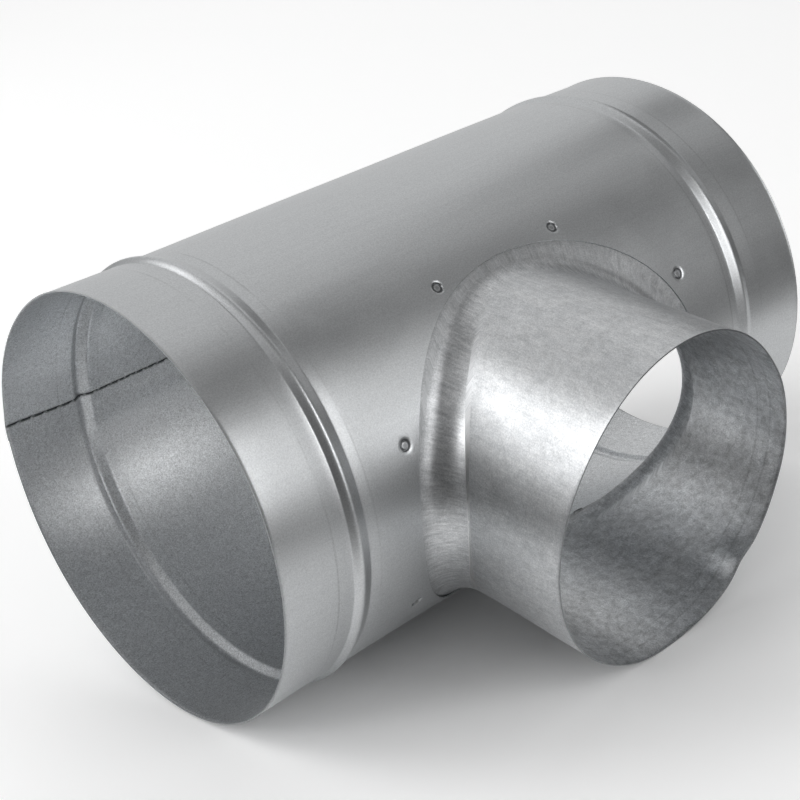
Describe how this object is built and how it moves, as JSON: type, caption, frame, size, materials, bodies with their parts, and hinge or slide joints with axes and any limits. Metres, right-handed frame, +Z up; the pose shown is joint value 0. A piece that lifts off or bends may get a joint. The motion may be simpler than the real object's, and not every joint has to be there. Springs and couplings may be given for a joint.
{
  "type": "reducing duct tee",
  "caption": "Galvanised sheet tee for round ducting: a beaded run tube with a smaller pressed branch collar clinched into its side.",
  "frame": {"origin": "middle of the footprint, on the floor that the tee rests on", "axes": "+Z up, +X along the run from the rim nearer the viewer to the far rim, branch towards -Y and 10.1 degrees below level, as the tee lies on its two beads and the lower lip of the branch mouth"},
  "size_m": [0.3344, 0.277, 0.2038],
  "materials": {
    "rolled_sheet": "galvanised, fine satin grain",
    "pressed_sheet": "galvanised, scuffed by the press"
  },
  "bodies": {
    "root": {"run_tube": "rolled_sheet", "branch_saddle": "pressed_sheet"}
  },
  "joints": []
}
